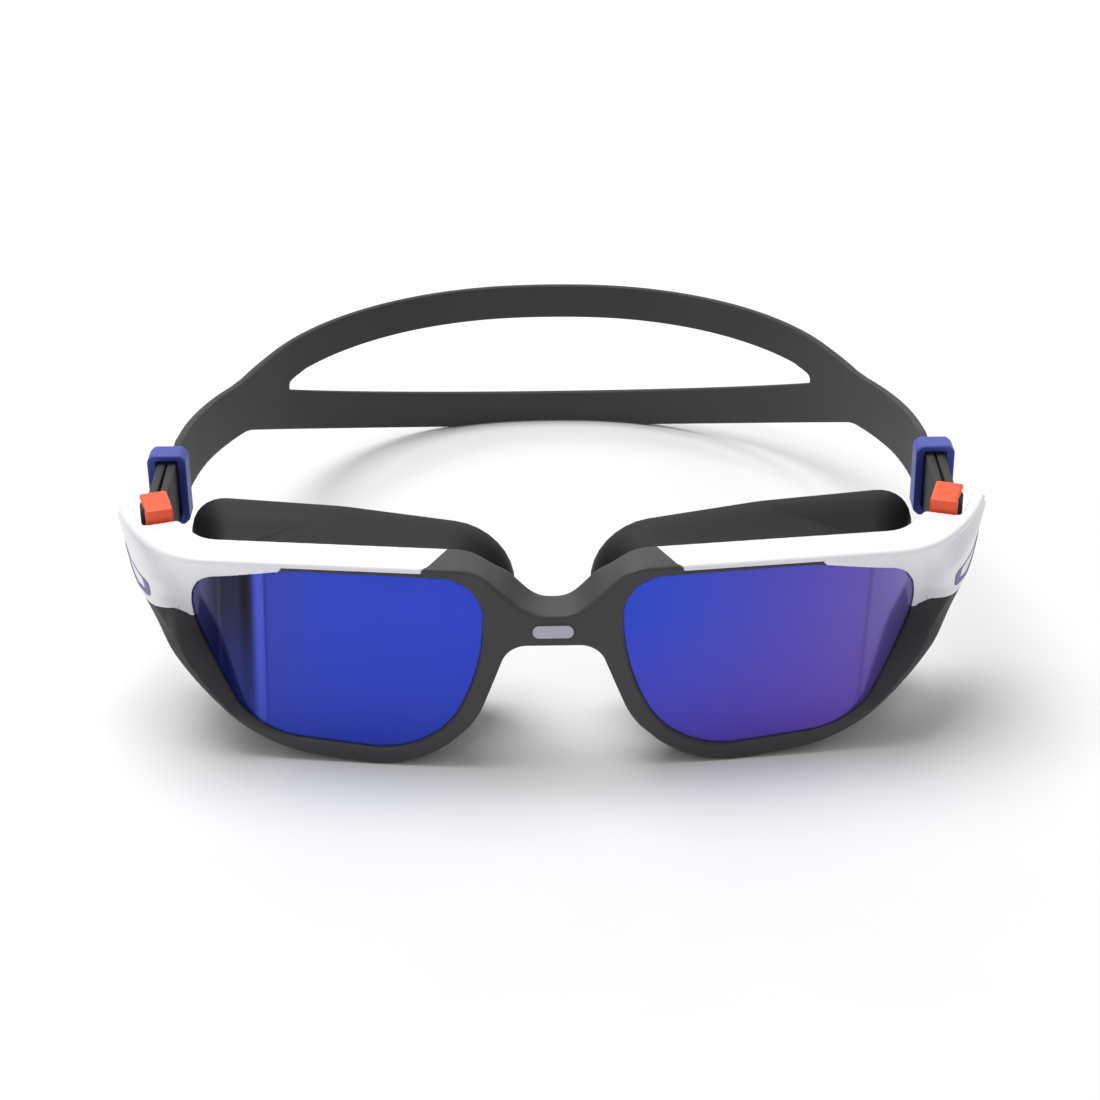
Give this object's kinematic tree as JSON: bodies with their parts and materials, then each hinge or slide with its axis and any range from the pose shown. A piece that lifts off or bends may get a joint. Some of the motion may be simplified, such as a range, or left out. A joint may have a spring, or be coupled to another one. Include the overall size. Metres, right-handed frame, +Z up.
{
  "type": "swim goggles",
  "caption": "Wrap-round swim goggles with mirrored lenses, silicone face seals, white side arms, release levers and a split silicone head strap with sliding keepers.",
  "frame": {"origin": "middle of the footprint, at the height of the surface that the goggles stand on", "axes": "+X across, towards the right-hand lens as seen from the front, which is the wearer's left; +Y from the lenses towards the back of the strap; +Z up"},
  "size_m": [0.1688, 0.1634, 0.0459],
  "materials": {
    "frame_charcoal": "satin moulded plastic",
    "carrier_black": "matte",
    "arm_white": "satin moulded plastic",
    "inlay_violet": "satin",
    "badge_grey": "satin",
    "lens_mirror": "blue and violet mirror coating on polycarbonate",
    "seal_silicone": "satin silicone",
    "strap_silicone": "matte silicone",
    "lever_orange": "satin",
    "keeper_blue": "satin",
    "steel": "plain wire and pin"
  },
  "bodies": {
    "goggles": {"front_frame": "frame_charcoal", "bridge_badge": "badge_grey", "strap": "strap_silicone", "lens_left": "lens_mirror", "lens_right": "lens_mirror", "lens_carrier_left": "carrier_black", "lens_carrier_right": "carrier_black", "seal_left": "seal_silicone", "seal_right": "seal_silicone", "arm_left": "arm_white", "arm_right": "arm_white", "arm_inlay_left": "inlay_violet", "arm_inlay_right": "inlay_violet", "lever_pin_left": "steel", "lever_pin_right": "steel", "lever_spring_left": "steel", "lever_spring_right": "steel"},
    "lever_left": {"strap_lever_left": "lever_orange"},
    "lever_right": {"strap_lever_right": "lever_orange"},
    "keeper_left": {"strap_keeper_left": "keeper_blue"},
    "keeper_right": {"strap_keeper_right": "keeper_blue"}
  },
  "joints": [
    {"name": "lever_left_release", "type": "hinge", "parent": "goggles", "child": "lever_left", "pos_m": [-0.0753, -0.0543, 0.04], "axis": [0, 0, -1], "range_deg": [0, 8], "stiffness_Nm_per_rad": 0.01, "springref_deg": -8.59},
    {"name": "lever_right_release", "type": "hinge", "parent": "goggles", "child": "lever_right", "pos_m": [0.0753, -0.0543, 0.04], "axis": [0, 0, 1], "range_deg": [0, 8], "stiffness_Nm_per_rad": 0.01, "springref_deg": -8.59},
    {"name": "keeper_left_slide", "type": "slide", "parent": "goggles", "child": "keeper_left", "axis": [0, 1, 0], "range_m": [-0.0018, 0.0025]},
    {"name": "keeper_right_slide", "type": "slide", "parent": "goggles", "child": "keeper_right", "axis": [0, 1, 0], "range_m": [-0.0018, 0.0025]}
  ]
}
